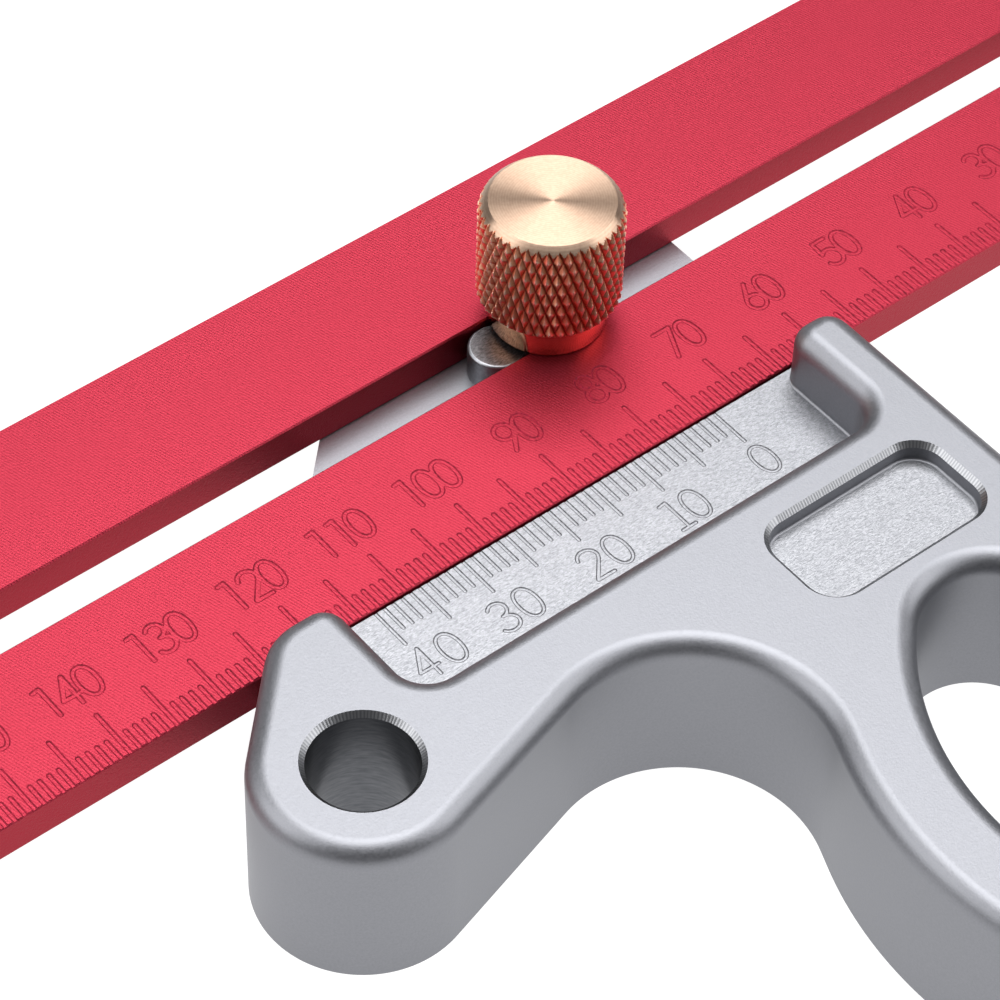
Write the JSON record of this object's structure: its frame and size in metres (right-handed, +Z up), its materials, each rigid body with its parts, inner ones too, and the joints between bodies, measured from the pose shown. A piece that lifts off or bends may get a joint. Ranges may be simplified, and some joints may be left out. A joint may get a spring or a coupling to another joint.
{
  "type": "woodworking angle ruler",
  "caption": "Sliding angle ruler for woodworking: a slotted engraved rule clamped by a knurled knob in a machined stock with a square fence, a mitre fence and a finger loop.",
  "frame": {"origin": "where the clamp screw's axis meets the flat base of the stock", "axes": "+X along the ruler towards the square fence, +Y away from the finger loop, +Z up along the clamp screw"},
  "size_m": [0.2, 0.1307, 0.026],
  "materials": {
    "stock": "bead-blasted, clear anodised",
    "ruler": "red anodised satin",
    "knob": "turned and knurled",
    "steel": "ground"
  },
  "bodies": {
    "stock": {"stock": "stock", "guide_pin": "steel"},
    "ruler": {"ruler": "ruler"},
    "stud": {"clamp_stud": "steel"},
    "knob": {"clamp_knob": "knob"}
  },
  "joints": [
    {"name": "ruler_slide", "type": "slide", "parent": "stock", "child": "ruler", "axis": [1, 0, 0], "range_m": [-0.0594, 0.103]},
    {"name": "knob_lift", "type": "slide", "parent": "stock", "child": "stud", "axis": [0, 0, 1], "range_m": [0, 0.0016]},
    {"name": "knob_turn", "type": "hinge", "parent": "stud", "child": "knob", "pos_m": [0, 0, 0.011], "axis": [0, 0, 1], "range_deg": [0, 720]}
  ],
  "couplings": [
    {"joint": "knob_turn", "follows": "knob_lift", "rad_per_m": 7854}
  ]
}
